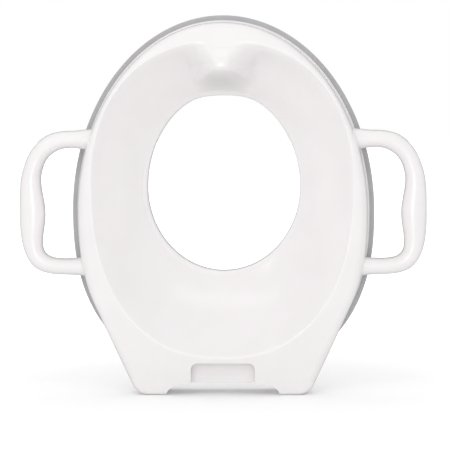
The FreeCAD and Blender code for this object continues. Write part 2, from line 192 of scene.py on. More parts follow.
@dataclass(frozen=True)
class Fineness:
    """Number of points on each stretch of a section."""

    lip: int
    dish: int
    face: int
    shoulder: int
    crest: int = 8
    collar: int = 4
    skirt: int = 6


FINE = Fineness(lip=8, dish=44, face=10, shoulder=12)
COARSE = Fineness(lip=3, dish=24, face=6, shoulder=5)


@dataclass
class SeatForm:
    """Shape of the moulded seat, in metres, seen in the plan and in section."""

    mid_depth: float = 0.014
    pole: float = 0.180
    base: Oval = Oval(half_width=0.1422, centre=0.1705, front=0.18378, rear=0.156, rear_power=2.4)
    crest: Oval = Oval(half_width=0.121, centre=0.194, front=0.1345, rear=0.158, front_power=2.3, rear_power=2.3)
    opening: Oval = Oval(half_width=0.0724, centre=0.192, front=0.0904, rear=0.0795, flat=0.0884)
    crest_top: float = 0.038
    crest_front_rise: float = 0.004
    crest_rear_rise: float = 0.002
    crest_edge_rear: float = 0.0016
    crest_edge_front: float = 0.004
    crest_edge_turn: float = 1.5
    lip_radius: float = 0.004
    dish_start: float = -0.008
    collar_depth: float = 0.012
    dish_bow: float = 0.35
    guard_top: float = 0.0479
    guard_tip_share: float = 0.58
    guard_nose_share: float = 0.53
    guard_crest_flat: float = 0.008
    guard_crest_foot: float = 0.042
    guard_tip_flat: float = 0.003
    guard_tip_foot: float = 0.032
    wall: float = 0.0028
    shoulder_radius: float = 0.010
    room_share: float = 0.7
    face_slope: float = math.radians(5)
    skirt_draft: float = math.radians(2.5)
    foot_half_span: float = 0.0815
    foot_corner: float = 0.019
    sole_edge: float = 0.0035
    ring_height: float = 0.006
    ring_reveal: float = 0.0046
    flange_out: float = 0.0014
    rear_cover: float = 0.0028
    flange_thickness: float = 0.0018
    corner_depth: float = 1.25
    least_radius_share: float = 0.15
    steepest: float = 2.0
    probe_share: float = 0.01
    probe_aside: float = 0.0005
    probe_turn: float = 0.004
    touch_steps: int = 2000
    outline_counts: tuple[int, int, int, int] = (26, 12, 22, 120)

    def place(self, across: float, up: float, height: float) -> Spot:
        """Return a plan point and its height as a point of the frame."""
        return (across, self.mid_depth - height, up)

    @property
    def skirt(self) -> Oval:
        """Oval of the skirt's foot."""
        oval = self.base.inset(self.ring_reveal + self.flange_out)
        return replace(oval, rear=oval.rear + self.rear_cover)

    def flank_touch(self) -> tuple[float, float, Point]:
        """Find where the apron's straight flank runs into the skirt's oval.

        Returns:
            lean of the flank, turn where it meets the oval, and that point.
        """
        best = None
        for i in range(self.touch_steps):
            turn = -QUARTER * i / self.touch_steps
            point = self.skirt.at(turn)
            lean = math.atan2(point[0] - self.foot_half_span, point[1])
            if best is None or lean > best[0]:
                best = (lean, turn, point)
        return best

    def half_outline(self) -> list[tuple[Point, Point]]:
        """Follow the right half of the outline from the middle of the soles up to the front.

        Returns:
            points, each with its outward direction.
        """
        sole, corner, flank, oval = self.outline_counts
        lean, touch_turn, touch = self.flank_touch()
        turn = QUARTER - lean
        start = self.foot_half_span - self.foot_corner * math.tan(turn / 2)
        rows = [((x, 0.0), (0.0, -1.0)) for x in spread(0, start, sole)]
        for bend in spread(0, turn, corner):
            facing = (math.sin(bend), -math.cos(bend))
            rows.append(((start + self.foot_corner * facing[0], self.foot_corner * (1 + facing[1])), facing))
        first = (start + self.foot_corner * math.sin(turn), self.foot_corner * (1 - math.cos(turn)))
        facing = (math.cos(lean), -math.sin(lean))
        rows += [(between(first, touch, share), facing) for share in spread(0, 1, flank)]
        for turn in spread(touch_turn, QUARTER, oval) + [QUARTER]:
            before, after = self.skirt.at(turn - self.probe_turn), self.skirt.at(turn + self.probe_turn)
            span = math.dist(before, after)
            rows.append((self.skirt.at(turn), ((after[1] - before[1]) / span, -(after[0] - before[0]) / span)))
        return rows

    def outline(self) -> list[tuple[Point, Point]]:
        """Return the whole closed outline of the skirt with its outward directions."""
        right = self.half_outline()
        return right + [((-p[0], p[1]), (-n[0], n[1])) for p, n in reversed(right[1:-1])]

    def crest_height(self, angle: float) -> float:
        """Return the height of the crest on a ray."""
        rise = self.crest_front_rise if math.sin(angle) > 0 else self.crest_rear_rise
        return self.crest_top + rise * math.sin(angle) ** 2

    def crest_edge(self, angle: float) -> float:
        """Return how far the rounding of the crest reaches on a ray."""
        return self.crest_edge_rear + (self.crest_edge_front - self.crest_edge_rear) * smooth(
            0.5 + self.crest_edge_turn * math.sin(angle))

    def guard_weight(self, across: float, share: float, angle: float) -> float:
        """Return 1 on top of the splash guard and 0 beside it.

        Args:
            across: place across the seat.
            share: share of the way from the opening to the crest.
            angle: turn of the ray in the plan.

        Returns:
            the guard's share in the height there.
        """
        if math.sin(angle) <= 0:
            return 0.0
        out = min(1.0, max(0.0, (share - self.guard_tip_share) / (1 - self.guard_tip_share)))
        flat = self.guard_tip_flat + (self.guard_crest_flat - self.guard_tip_flat) * out
        foot = self.guard_tip_foot + (self.guard_crest_foot - self.guard_tip_foot) * out
        return smooth((foot - abs(across)) / (foot - flat))

    def guard_height(self, share: float, angle: float) -> float:
        """Return the height of the splash guard's ridge at a share of the way out.

        Args:
            share: share of the way from the opening to the crest.
            angle: turn of the ray in the plan.

        Returns:
            the height above the plane that lies on the toilet.
        """
        tip = self.guard_tip_share
        fall = (self.guard_top - self.crest_height(angle)) * smooth((share - tip) / (1 - tip))
        climb = min(1.0, share / self.guard_nose_share)
        rise = (smooth(climb) + math.sin(QUARTER * climb)) / 2
        return self.dish_start + (self.guard_top - self.dish_start) * rise - fall

    def dish_height(self, across: float, share: float, angle: float) -> float:
        """Return the height of the dish, with the splash guard, at a share of the way out.

        Args:
            across: place across the seat.
            share: share of the way from the opening to the crest.
            angle: turn of the ray in the plan.

        Returns:
            the height above the plane that lies on the toilet.
        """
        climb = share * (1 - self.dish_bow + self.dish_bow * share)
        plain = self.dish_start + (self.crest_height(angle) - self.dish_start) * climb
        return plain + (self.guard_height(share, angle) - plain) * self.guard_weight(across, share, angle)

    def steepness(self, across: float, share: float, angle: float, length: float) -> float:
        """Return the straight depth of the wall over its thickness at a place of the dish.

        Args:
            across: place across the seat.
            share: share of the way from the opening to the crest.
            angle: turn of the ray in the plan.
            length: length of the ray from the opening to the crest.

        Returns:
            the ratio, at most steepest.
        """
        low, high, aside = max(share - self.probe_share, 0.0), share + self.probe_share, self.probe_aside
        along = (self.dish_height(across, high, angle) - self.dish_height(across, low, angle))
        along /= (high - low) * length
        side = self.dish_height(across + aside, share, angle) - self.dish_height(across - aside, share, angle)
        side /= 2 * aside
        return min(self.steepest, math.sqrt(1 + along * along + side * side))

    def section(self, outer: Point, facing: Point, depth: float, counts: Fineness) -> list[Spot]:
        """Return the seat's surface along one ray, from the foot of the collar to the foot of the skirt.

        Args:
            outer: foot of the skirt in the plan.
            facing: outward direction there.
            depth: how far inside the real surface the points lie.
            counts: number of points on each stretch, with a rounded crest only where FINE.

        Returns:
            the points in the frame.
        """
        angle = math.atan2(outer[1] - self.pole, outer[0])
        ray = (math.cos(angle), math.sin(angle))
        hole, crest = self.opening.on_ray(angle, self.pole), self.crest.on_ray(angle, self.pole)
        start = move(hole, ray, self.lip_radius)
        length = math.dist(start, crest)
        edge = self.crest_edge(angle)
        inner = move(crest, ray, -edge)
        top = self.crest_height(angle)
        radius = self.sole_edge + (self.shoulder_radius - self.sole_edge) * smooth(facing[1] + 1)
        lean = smooth(facing[1] + 1) * math.tan(self.skirt_draft)
        brow = move(outer, facing, -lean * (top - radius - self.ring_height))
        plan_radius = lower_of(radius, self.room_share * math.dist(crest, brow))
        face_end = move(brow, facing, -plan_radius)
        edge_height = top - math.tan(self.face_slope) * math.dist(face_end, crest)
        out_radius = max(plan_radius - depth, self.least_radius_share * plan_radius)
        down_radius = radius - depth
        turn_height = self.dish_start - self.lip_radius
        bend = self.lip_radius - depth
        steps = counts.collar
        rows = [self.place(*move(start, ray, -bend),
                           turn_height - self.collar_depth * k / steps + self.lip_radius * k / steps)
                for k in range(steps, 0, -1)]
        for turn in spread(0, QUARTER, counts.lip):
            rows.append(self.place(*move(start, ray, -bend * math.cos(turn)), turn_height + bend * math.sin(turn)))
        for share_in in spread(0, 1, counts.dish):
            spot = between(start, inner, share_in)
            share = math.dist(start, spot) / length
            down = depth * self.steepness(spot[0], share, angle, length) if depth else 0.0
            rows.append(self.place(*spot, self.dish_height(spot[0], share, angle) - down))
        if counts is FINE:
            inner_height = self.dish_height(inner[0], 1 - edge / length, angle)
            gap = math.dist(crest, face_end)
            out_edge = edge * gap / (gap + edge)
            outer_spot = between(crest, face_end, out_edge / gap)
            outer_height = top - out_edge * math.tan(self.face_slope)
            for t in spread(0, 1, counts.crest):
                a, b, c = (1 - t) ** 2, 2 * t * (1 - t), t * t
                spot = tuple(a * p + b * q + c * r for p, q, r in zip(inner, crest, outer_spot))
                rows.append(self.place(*spot, a * inner_height + b * top + c * outer_height))
            face_from, face_top = outer_spot, outer_height
        else:
            face_from, face_top = crest, top - self.corner_depth * depth
        for share in spread(0, 1, counts.face):
            rows.append(self.place(*between(face_from, face_end, share),
                                   face_top + (edge_height - depth - face_top) * share))
        for turn in spread(0, QUARTER, counts.shoulder):
            height = edge_height - radius + down_radius * math.cos(turn)
            rows.append(self.place(*move(face_end, facing, out_radius * math.sin(turn)), height))
        foot = move(outer, facing, out_radius - plan_radius)
        last = move(face_end, facing, out_radius)
        for share in spread(0, 1, counts.skirt) + [1.0]:
            height = edge_height - radius + (self.ring_height - edge_height + radius) * share
            rows.append(self.place(*between(last, foot, share), height))
        return rows


# Mesh tools

def new_object(name: str, data: bpy.types.ID) -> Obj:
    """Put a new object into the scene.

    Args:
        name: name of the object.
        data: its mesh, light or camera.

    Returns:
        the object.
    """
    obj = bpy.data.objects.new(name, data)
    bpy.context.scene.collection.objects.link(obj)
    return obj


def shown_mesh(obj: Obj) -> bpy.types.Mesh:
    """Return a new mesh that holds an object's shape with its modifiers applied."""
    return bpy.data.meshes.new_from_object(obj.evaluated_get(bpy.context.evaluated_depsgraph_get()))


def mesh_object(name: str, verts: list[Spot], faces: list[tuple[int, ...]]) -> Obj:
    """Make an object of points and faces, with its faces turned outwards.

    Args:
        name: name of the object.
        verts: points in the frame.
        faces: point numbers of each face.

    Returns:
        the new object.
    """
    mesh = bpy.data.meshes.new(name)
    mesh.from_pydata(verts, [], faces)
    obj = new_object(name, mesh)
    turn_outwards(obj)
    return obj


def turn_outwards(obj: Obj) -> None:
    """Merge doubled points and turn every face of a closed mesh outwards.

    Args:
        obj: object to change.
    """
    draft = bmesh.new()
    draft.from_mesh(obj.data)
    bmesh.ops.remove_doubles(draft, verts=draft.verts, dist=MERGE)
    bmesh.ops.recalc_face_normals(draft, faces=draft.faces)
    draft.to_mesh(obj.data)
    draft.free()


def loop_faces(loops: int, points: int, closed: bool) -> list[tuple[int, ...]]:
    """Join loops of points by quads.

    Args:
        loops: number of loops.
        points: number of points in each loop.
        closed: whether the last loop joins the first one.

    Returns:
        point numbers of each face.
    """
    faces = []
    for i in range(loops if closed else loops - 1):
        j = (i + 1) % loops
        for k in range(points):
            m = (k + 1) % points
            faces.append((i * points + k, i * points + m, j * points + m, j * points + k))
    return faces


def band_mesh(name: str, columns: list[list[Spot]]) -> Obj:
    """Make a closed band of sections that go once round the seat."""
    verts = [spot for column in columns for spot in column]
    return mesh_object(name, verts, loop_faces(len(columns), len(columns[0]), True))


def combine(base: Obj, other: Obj, how: Cut) -> Obj:
    """Combine two closed meshes into the first one and delete the other.

    Args:
        base: object that keeps the result.
        other: object that is used up.
        how: kind of combination.

    Returns:
        the first object.
    """
    modifier = base.modifiers.new("combine", "BOOLEAN")
    modifier.operation = how.value
    modifier.solver = "EXACT"
    modifier.object = other
    result = shown_mesh(base)
    base.modifiers.clear()
    old = base.data
    base.data = result
    bpy.data.meshes.remove(old)
    bpy.data.objects.remove(other)
    return base


def shade(obj: Obj, sharp: float) -> None:
    """Shade a mesh smoothly, with edges steeper than an angle kept sharp.

    Args:
        obj: object to shade.
        sharp: angle between two faces from which their edge is sharp.
    """
    mesh = obj.data
    mesh.shade_smooth()
    draft = bmesh.new()
    draft.from_mesh(mesh)
    for edge in draft.edges:
        edge.smooth = len(edge.link_faces) != 2 or edge.calc_face_angle(0.0) < sharp
    draft.to_mesh(mesh)
    draft.free()


# Node tools and finishes

def set_inputs(node: bpy.types.Node, values: dict[str, object]) -> None:
    """Set the values of a node's inputs by name."""
    for label, value in values.items():
        node.inputs[label].default_value = value


def connect(tree: Tree, rows: tuple[tuple, ...]) -> None:
    """Link outputs to inputs: each row says node, output, node, input."""
    for source, output, target, entry in rows:
        tree.links.new(source.outputs[output], target.inputs[entry])


def add_sockets(tree: Tree, side: str, kinds: dict[str, str]) -> None:
    """Give a group the named sockets of one side, each with its kind."""
    for label, kind in kinds.items():
        tree.interface.new_socket(label, in_out=side, socket_type="NodeSocket" + kind)


def grain_group() -> Tree:
    """Build the shared effect of a moulded surface: fine grain, slow waviness and handling marks.

    Returns:
        the shader group, built once.
    """
    name = "moulded_surface"
    if name in bpy.data.node_groups:
        return bpy.data.node_groups[name]
    tree = bpy.data.node_groups.new(name, "ShaderNodeTree")
    add_sockets(tree, "INPUT", dict.fromkeys(("Grain Scale", "Grain Depth", "Wave Scale", "Wave Depth"), "Float"))
    add_sockets(tree, "OUTPUT", dict.fromkeys(("Height", "Marks"), "Float"))
    nodes = tree.nodes
    start, end = nodes.new("NodeGroupInput"), nodes.new("NodeGroupOutput")
    place = nodes.new("ShaderNodeTexCoord")
    grain, wave, marks = (nodes.new("ShaderNodeTexNoise") for _ in range(3))
    set_inputs(grain, {"Detail": GRAIN_DETAIL})
    set_inputs(wave, {"Detail": WAVE_DETAIL})
    set_inputs(marks, {"Detail": MARK_DETAIL, "Scale": MARK_SCALE})
    total = nodes.new("ShaderNodeMath")
    for i, (noise, kind) in enumerate(((grain, "Grain"), (wave, "Wave"))):
        scaled = nodes.new("ShaderNodeMath")
        scaled.operation = "MULTIPLY"
        connect(tree, ((start, kind + " Scale", noise, "Scale"), (noise, "Fac", scaled, 0),
                       (start, kind + " Depth", scaled, 1), (scaled, 0, total, i)))
    connect(tree, tuple((place, "Object", noise, "Vector") for noise in (grain, wave, marks)))
    connect(tree, ((total, 0, end, "Height"), (marks, "Fac", end, "Marks")))
    return tree


@dataclass(frozen=True)
class Finish:
    """A moulded finish: colour, gloss and the small relief of its surface."""

    name: str
    slot: str
    colour: Spot
    tint: Spot
    rough_low: float
    rough_high: float
    grain_scale: float
    grain_depth: float
    wave_scale: float
    wave_depth: float
    bump: float
    coat: float = 0.0
    level: float = 0.5

    def material(self) -> bpy.types.Material:
        """Build the finish as a node material.

        Returns:
            the material, built once.
        """
        if self.name in bpy.data.materials:
            return bpy.data.materials[self.name]
        material = bpy.data.materials.new(self.name)
        material.use_nodes = True
        nodes = material.node_tree.nodes
        shader = nodes["Principled BSDF"]
        set_inputs(shader, {"Coat Weight": self.coat, "Specular IOR Level": self.level})
        surface = nodes.new("ShaderNodeGroup")
        surface.node_tree = grain_group()
        set_inputs(surface, {"Grain Scale": self.grain_scale, "Grain Depth": self.grain_depth,
                             "Wave Scale": self.wave_scale, "Wave Depth": self.wave_depth})
        colours = nodes.new("ShaderNodeValToRGB")
        for stop, place, colour in zip(colours.color_ramp.elements, COLOUR_RANGE, (self.colour, self.tint)):
            stop.position, stop.color = place, (*colour, 1)
        gloss = nodes.new("ShaderNodeMapRange")
        set_inputs(gloss, {"From Min": GLOSS_RANGE[0], "From Max": GLOSS_RANGE[1],
                           "To Min": self.rough_low, "To Max": self.rough_high})
        relief = nodes.new("ShaderNodeBump")
        set_inputs(relief, {"Strength": self.bump, "Distance": RELIEF})
        connect(material.node_tree, (
            (surface, "Marks", colours, "Fac"), (surface, "Marks", gloss, "Value"),
            (surface, "Height", relief, "Height"), (colours, "Color", shader, "Base Color"),
            (gloss, "Result", shader, "Roughness"), (relief, "Normal", shader, "Normal")))
        return material

    def dress(self, obj: Obj) -> Obj:
        """Give a piece this finish.

        Args:
            obj: piece to dress.

        Returns:
            the same piece.
        """
        obj.data.materials.clear()
        obj.data.materials.append(self.material())
        return obj


WHITE_SHELL = Finish(
    "white_polypropylene", "white_plastic", colour=(0.855, 0.828, 0.833), tint=(0.87, 0.843, 0.848),
    rough_low=0.16, rough_high=0.22, grain_scale=1500.0, grain_depth=0.08, wave_scale=14.0, wave_depth=1.0,
    bump=0.35)
GREY_RING = Finish(
    "grey_soft_rubber", "grey_rubber", colour=(0.43, 0.43, 0.44), tint=(0.47, 0.47, 0.48),
    rough_low=0.62, rough_high=0.78, grain_scale=2600.0, grain_depth=1.0, wave_scale=60.0, wave_depth=0.2,
    bump=0.5, level=0.35)


@dataclass
class Handle:
    """One D-shaped grip, in metres: a channel that is open at the back, with cross ribs.

    Each station pairs a point of the outer edge with one of the inner edge, from the upper root to the lower one.
    """

    form: SeatForm
    height: float = 0.019
    depth: float = 0.023
    wall: float = 0.0024
    power: float = 0.8
    channel_start: int = 3
    drop: float = 0.0012
    steps: int = 5
    around: int = 36
    rib_length: float = 0.04
    rib_station: int = 13
    rib_heights: tuple[float, ...] = (0.148, 0.170, 0.193)
    rib_thickness: float = 0.0016
    edges: tuple[tuple[float, float, float, float], ...] = (
        (0.1180, 0.2504, 0.1180, 0.2300), (0.1300, 0.2493, 0.1300, 0.2309), (0.1380, 0.2484, 0.1370, 0.2321),
        (0.1480, 0.2481, 0.1460, 0.2322), (0.1580, 0.2464, 0.1530, 0.2306), (0.1665, 0.2428, 0.1585, 0.2277),
        (0.1745, 0.2362, 0.1630, 0.2239), (0.1812, 0.2270, 0.1667, 0.2184), (0.1860, 0.2155, 0.1692, 0.2113),
        (0.1888, 0.2050, 0.1705, 0.2036), (0.1900, 0.1950, 0.1699, 0.1942), (0.1904, 0.1860, 0.1684, 0.1857),
        (0.1905, 0.1770, 0.1671, 0.1769), (0.1905, 0.1685, 0.1668, 0.1685), (0.1904, 0.1600, 0.1676, 0.1600),
        (0.1898, 0.1515, 0.1688, 0.1518), (0.1885, 0.1430, 0.1694, 0.1441), (0.1861, 0.1346, 0.1689, 0.1384),
        (0.1821, 0.1264, 0.1667, 0.1338), (0.1764, 0.1199, 0.1626, 0.1307), (0.1690, 0.1161, 0.1572, 0.1291),
        (0.1600, 0.1141, 0.1510, 0.1285), (0.1490, 0.1134, 0.1450, 0.1285), (0.1385, 0.1130, 0.1375, 0.1289),
        (0.1300, 0.1120, 0.1300, 0.1299), (0.1180, 0.1108, 0.1180, 0.1310))

    def stations(self, first: int, steps: int) -> list[np.ndarray]:
        """Return smooth stations between the paired points.

        Args:
            first: number of pairs left out at each end.
            steps: stations from one pair to the next.

        Returns:
            rows of outer and inner points.
        """
        rows = np.array(self.edges[first:len(self.edges) - first])
        rows = np.vstack([2 * rows[0] - rows[1], rows, 2 * rows[-1] - rows[-2]])
        stations = []
        for before, here, there, after in zip(rows, rows[1:], rows[2:], rows[3:]):
            for share in spread(0, 1, steps):
                bend = (2 * here + (there - before) * share + (2 * before - 5 * here + 4 * there - after) * share ** 2
                        + (3 * here - before - 3 * there + after) * share ** 3) / 2
                stations.append(bend)
        return stations + [rows[-2]]

    def sweep(self, name: str, profile: list[Point], first: int, inset: float) -> Obj:
        """Return a closed solid of a profile carried along the handle.

        Args:
            name: name of the object.
            profile: points with their shares of the half width, and heights.
            first: number of paired points left out at each end.
            inset: how far the profile's sides lie inside the handle's edges.

        Returns:
            the solid.
        """
        verts = []
        stations = self.stations(first, self.steps)
        for row in stations:
            outer, inner = row[:2], row[2:]
            middle, half = (outer + inner) / 2, (outer - inner) / 2
            reach = math.hypot(*half)
            half = half * (reach - inset) / reach
            for share, height in profile:
                spot = middle + half * share
                verts.append(self.form.place(spot[0], spot[1] - self.drop, height))
        points, loops = len(profile), len(stations)
        faces = loop_faces(loops, points, False)
        faces += [tuple(range(points)), tuple(range((loops - 1) * points, loops * points))]
        return mesh_object(name, verts, faces)

    def rounded(self, turn: float, inset: float) -> Point:
        """Return the share of the half width and the height at a turn of the rounded section.

        Args:
            turn: angle round the section.
            inset: how far the section lies inside the handle's surface.

        Returns:
            share of the half width, and height.
        """
        c, s = math.cos(turn), math.sin(turn)
        rise = (self.depth / 2 - inset) * math.copysign(abs(s) ** self.power, s)
        return (math.copysign(abs(c) ** self.power, c), self.height + rise)

    def build(self) -> Obj:
        """Build the handle on the right side.

        Returns:
            the solid.
        """
        rim = [self.rounded(turn, 0.0) for turn in spread(0, 2 * math.pi, self.around)]
        body = self.sweep("handle", rim, 0, 0.0)
        roof = [self.rounded(turn, self.wall) for turn in spread(0, math.pi, self.around // 2) + [math.pi]]
        back = self.height - self.depth
        channel = self.sweep("handle_channel", roof + [(-1.0, back), (1.0, back)], self.channel_start, self.wall)
        middle = (self.edges[self.rib_station][0] + self.edges[self.rib_station][2]) / 2
        spots = [self.form.place(middle, up, self.height) for up in self.rib_heights]
        size = (self.rib_length, 2 * self.depth, self.rib_thickness)
        channel = combine(channel, RibPlates(size, spots, [0.0] * len(spots)).build(), Cut.TAKE_AWAY)
        return combine(body, channel, Cut.TAKE_AWAY)


@dataclass
class RibPlates:
    """Thin plates placed by Geometry Nodes: one at each point, turned in the plan.

    Args:
        size: length, depth and thickness of a plate.
        spots: middle of each plate.
        turns: turn of each plate in the plan.
    """

    size: Spot
    spots: list[Spot]
    turns: list[float]

    def tree(self) -> Tree:
        """Build the node tree that places the plates.

        Returns:
            the tree, built once.
        """
        name = "rib_plates"
        if name in bpy.data.node_groups:
            return bpy.data.node_groups[name]
        tree = bpy.data.node_groups.new(name, "GeometryNodeTree")
        add_sockets(tree, "INPUT", {"Points": "Geometry", "Plate Size": "Vector", "Finish": "Material"})
        add_sockets(tree, "OUTPUT", {"Plates": "Geometry"})
        nodes = tree.nodes
        start, end = nodes.new("NodeGroupInput"), nodes.new("NodeGroupOutput")
        plate = nodes.new("GeometryNodeMeshCube")
        turn = nodes.new("GeometryNodeInputNamedAttribute")
        turn.data_type = "FLOAT_VECTOR"
        set_inputs(turn, {"Name": "turn"})
        copies = nodes.new("GeometryNodeInstanceOnPoints")
        real = nodes.new("GeometryNodeRealizeInstances")
        finish = nodes.new("GeometryNodeSetMaterial")
        connect(tree, (
            (start, "Points", copies, "Points"), (start, "Plate Size", plate, "Size"),
            (plate, "Mesh", copies, "Instance"), (turn, "Attribute", copies, "Rotation"),
            (copies, "Instances", real, "Geometry"), (real, "Geometry", finish, "Geometry"),
            (start, "Finish", finish, "Material"), (finish, "Geometry", end, "Plates")))
        return tree

    def build(self) -> Obj:
        """Build the plates as one plain mesh.

        Returns:
            the object, its modifier gone.
        """
        mesh = bpy.data.meshes.new("rib_plates")
        mesh.from_pydata(self.spots, [], [])
        values = mesh.attributes.new("turn", "FLOAT_VECTOR", "POINT")
        for value, turn in zip(values.data, self.turns):
            value.vector = (0.0, -turn, 0.0)
        obj = new_object("rib_plates", mesh)
        tree = self.tree()
        modifier = obj.modifiers.new("rib_plates", "NODES")
        modifier.node_group = tree
        keys = {item.name: item.identifier for item in tree.interface.items_tree if item.in_out == "INPUT"}
        modifier[keys["Plate Size"]] = self.size
        modifier[keys["Finish"]] = WHITE_SHELL.material()
        result = shown_mesh(obj)
        obj.modifiers.clear()
        obj.data = result
        turn_outwards(obj)
        return obj


@dataclass
class SeatShell:
    """The white moulding: dish, splash guard, skirt, apron with feet, and both handles."""

    form: SeatForm = field(default_factory=SeatForm)
    arch_half_span: float = 0.053
    arch_reach: float = 0.0215
    arch_height: float = 0.0116
    arch_tail_walls: float = 5.4
    arch_points: int = 18
    recess_width: float = 0.060
    recess_top: float = 0.0305
    recess_corner: float = 0.0065
    recess_depth: float = 0.007
    recess_points: int = 14
    rim_step: float = 0.0016
    rib_thickness: float = 0.0018
    rib_foot: float = 0.009
    rib_angles: tuple[float, ...] = (33.0, 56.0, 76.0, -30.0, -48.0, -66.0)
    flange_edge: float = 0.0004
    cut_walls: float = 2.0
    filling_walls: float = 4.0
    floor_margin: float = 0.01
    top_margin: float = 0.001
    sharp: float = math.radians(34)

    def skins(self) -> Obj:
        """Build the thin wall between the outer and the inner skin.

        Returns:
            the closed mesh.
        """
        columns = []
        for outer, facing in self.form.outline():
            inside = self.form.section(outer, facing, self.form.wall, COARSE)
            columns.append(self.form.section(outer, facing, 0.0, FINE) + inside[::-1])
        return band_mesh("seat_shell_skin", columns)

    def filling(self, depth: float) -> Obj:
        """Build the solid of all that lies under the skin.

        Args:
            depth: how far inside the real surface.

        Returns:
            the closed mesh.
        """
        form = self.form
        low = form.mid_depth - form.dish_start + form.collar_depth + self.filling_walls * form.wall
        columns = []
        for outer, facing in form.outline():
            column = form.section(outer, facing, depth, COARSE)
            first, last = column[0], column[-1]
            columns.append([(first[0], low, first[2])] + column + [(last[0], low, last[2])])
        return band_mesh("filling", columns)

    def prism(self, outline: list[Point], low: float, high: float) -> Obj:
        """Build a prism over a plan outline.

        Args:
            outline: points in the plan.
            low, high: heights of its two ends.

        Returns:
            the closed mesh.
        """
        count = len(outline)
        verts = [self.form.place(x, z, low) for x, z in outline] + [self.form.place(x, z, high) for x, z in outline]
        faces = loop_faces(2, count, False) + [tuple(range(count)), tuple(range(count, 2 * count))]
        return mesh_object("prism", verts, faces)

    def doorway(self, half: float, top: float, corner: Point, count: int) -> list[Point]:
        """Draw a symmetric opening from below the floor, with rounded upper corners.

        Args:
            half: half of its width.
            top: its height above the floor.
            corner: width and height of its corners.
            count: number of points on a corner.

        Returns:
            points in the plan.
        """
        wide, tall = corner
        outline = [(half, -self.cut_walls * self.form.wall)]
        for turn in spread(0, QUARTER, count) + [QUARTER]:
            outline.append((half - wide + wide * math.cos(turn), top - tall + tall * math.sin(turn)))
        return outline + [(-x, z) for x, z in reversed(outline)]

    def arch(self, grown: float) -> Obj:
        """Build the space of the arch between the feet.

        Args:
            grown: how far its sides are moved out.

        Returns:
            the closed mesh.
        """
        span, top, reach = self.arch_half_span + grown, self.arch_height + grown, self.arch_reach + grown
        outline = self.doorway(span, top, (reach, top), self.arch_points)
        tail = self.form.ring_height - self.arch_tail_walls * self.form.wall + grown
        return self.prism(outline, tail, self.form.guard_top)

    def recess(self, grown: float) -> Obj:
        """Build the space of the finger recess.

        Args:
            grown: how far its sides are moved out.

        Returns:
            the closed mesh.
        """
        half, top, radius = self.recess_width / 2 + grown, self.recess_top + grown, self.recess_corner + grown
        outline = self.doorway(half, top, (radius, radius), self.recess_points)
        floor = self.form.crest_top - self.recess_depth - grown
        return self.prism(outline, floor, self.form.guard_top)

    def rim_wall(self) -> Obj:
        """Build the wall behind the apron that follows the base oval and carries the ring.

        Returns:
            the closed mesh.
        """
        form = self.form
        near = form.ring_reveal + form.flange_out + self.rim_step
        wall = PlanBand(form, [(near, form.ring_height), (near, form.crest_top), (near + form.wall, form.crest_top),
                               (near + form.wall, form.ring_height)]).build("rim_wall")
        wide, top = form.base.half_width, form.flank_touch()[2][1]
        floor = -self.floor_margin
        below = self.prism([(-wide, floor), (wide, floor), (wide, top), (-wide, top)], 0.0,
                           form.crest_top + self.top_margin)
        wall = combine(wall, below, Cut.KEEP_COMMON)
        wall = combine(wall, self.filling(form.wall / 2), Cut.KEEP_COMMON)
        return combine(wall, self.recess(form.wall / 2), Cut.TAKE_AWAY)

    def ribs(self) -> Obj:
        """Build the radial ribs between dish and skirt, trimmed to the skin.

        Returns:
            the closed meshes, as one object.
        """
        form = self.form
        tall = form.guard_top - self.rib_foot
        turns = [math.radians(angle) for degrees in self.rib_angles for angle in (degrees, 180 - degrees)]
        reach = form.base.front / 2
        spots = [form.place(reach * math.cos(turn), form.pole + reach * math.sin(turn), self.rib_foot + tall / 2)
                 for turn in turns]
        plates = RibPlates((2 * reach, tall, self.rib_thickness), spots, turns).build()
        return combine(plates, self.filling(form.wall / 2), Cut.KEEP_COMMON)

    def build(self) -> Obj:
        """Build the whole moulding and dress it.

        Returns:
            the finished piece.
        """
        shell = self.skins()
        wall = self.form.wall
        walls = combine(self.arch(wall), self.recess(wall), Cut.JOIN)
        walls = combine(walls, self.filling(wall / 2), Cut.KEEP_COMMON)
        shell = combine(shell, walls, Cut.JOIN)
        for side in (1, -1):
            handle = Handle(self.form).build()
            handle = combine(handle, self.filling(wall / 2), Cut.TAKE_AWAY)
            if side < 0:
                for vertex in handle.data.vertices:
                    vertex.co.x = -vertex.co.x
                turn_outwards(handle)
            shell = combine(shell, handle, Cut.JOIN)
        shell = combine(shell, self.arch(0.0), Cut.TAKE_AWAY)
        shell = combine(shell, self.recess(0.0), Cut.TAKE_AWAY)
        for part in (self.flange(), self.rim_wall(), self.ribs()):
            shell = combine(shell, part, Cut.JOIN)
        shell.name = "moulded_seat"
        shade(shell, self.sharp)
        WHITE_SHELL.dress(shell)
        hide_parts("seat_shell")
        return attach(shell, ROOT)

    def flange(self) -> Obj:
        """Build the narrow flange at the skirt's foot that the soft ring lies against.

        Returns:
            the closed mesh.
        """
        form, edge = self.form, self.flange_edge
        near, low, high = form.ring_reveal, form.ring_height, form.ring_height + form.flange_thickness
        far = near + form.flange_out + form.wall / 2
        profile = [(near, low), (near, high - edge), (near + edge, high), (far, high), (far, low)]
        return PlanBand(form, profile).build("flange")


@dataclass
class PlanBand:
    """A profile of insets and heights carried round the base oval."""

    form: SeatForm
    profile: list[Point]
    count: int = 320

    def build(self, name: str) -> Obj:
        """Carry the profile round the base oval.

        Args:
            name: name of the object.

        Returns:
            the closed mesh.
        """
        rails = [(self.form.base.inset(inset), height) for inset, height in self.profile]
        return band_mesh(name, [[self.form.place(*oval.on_ray(angle, self.form.pole), height)
                                 for oval, height in rails] for angle in spread(0, 2 * math.pi, self.count)])


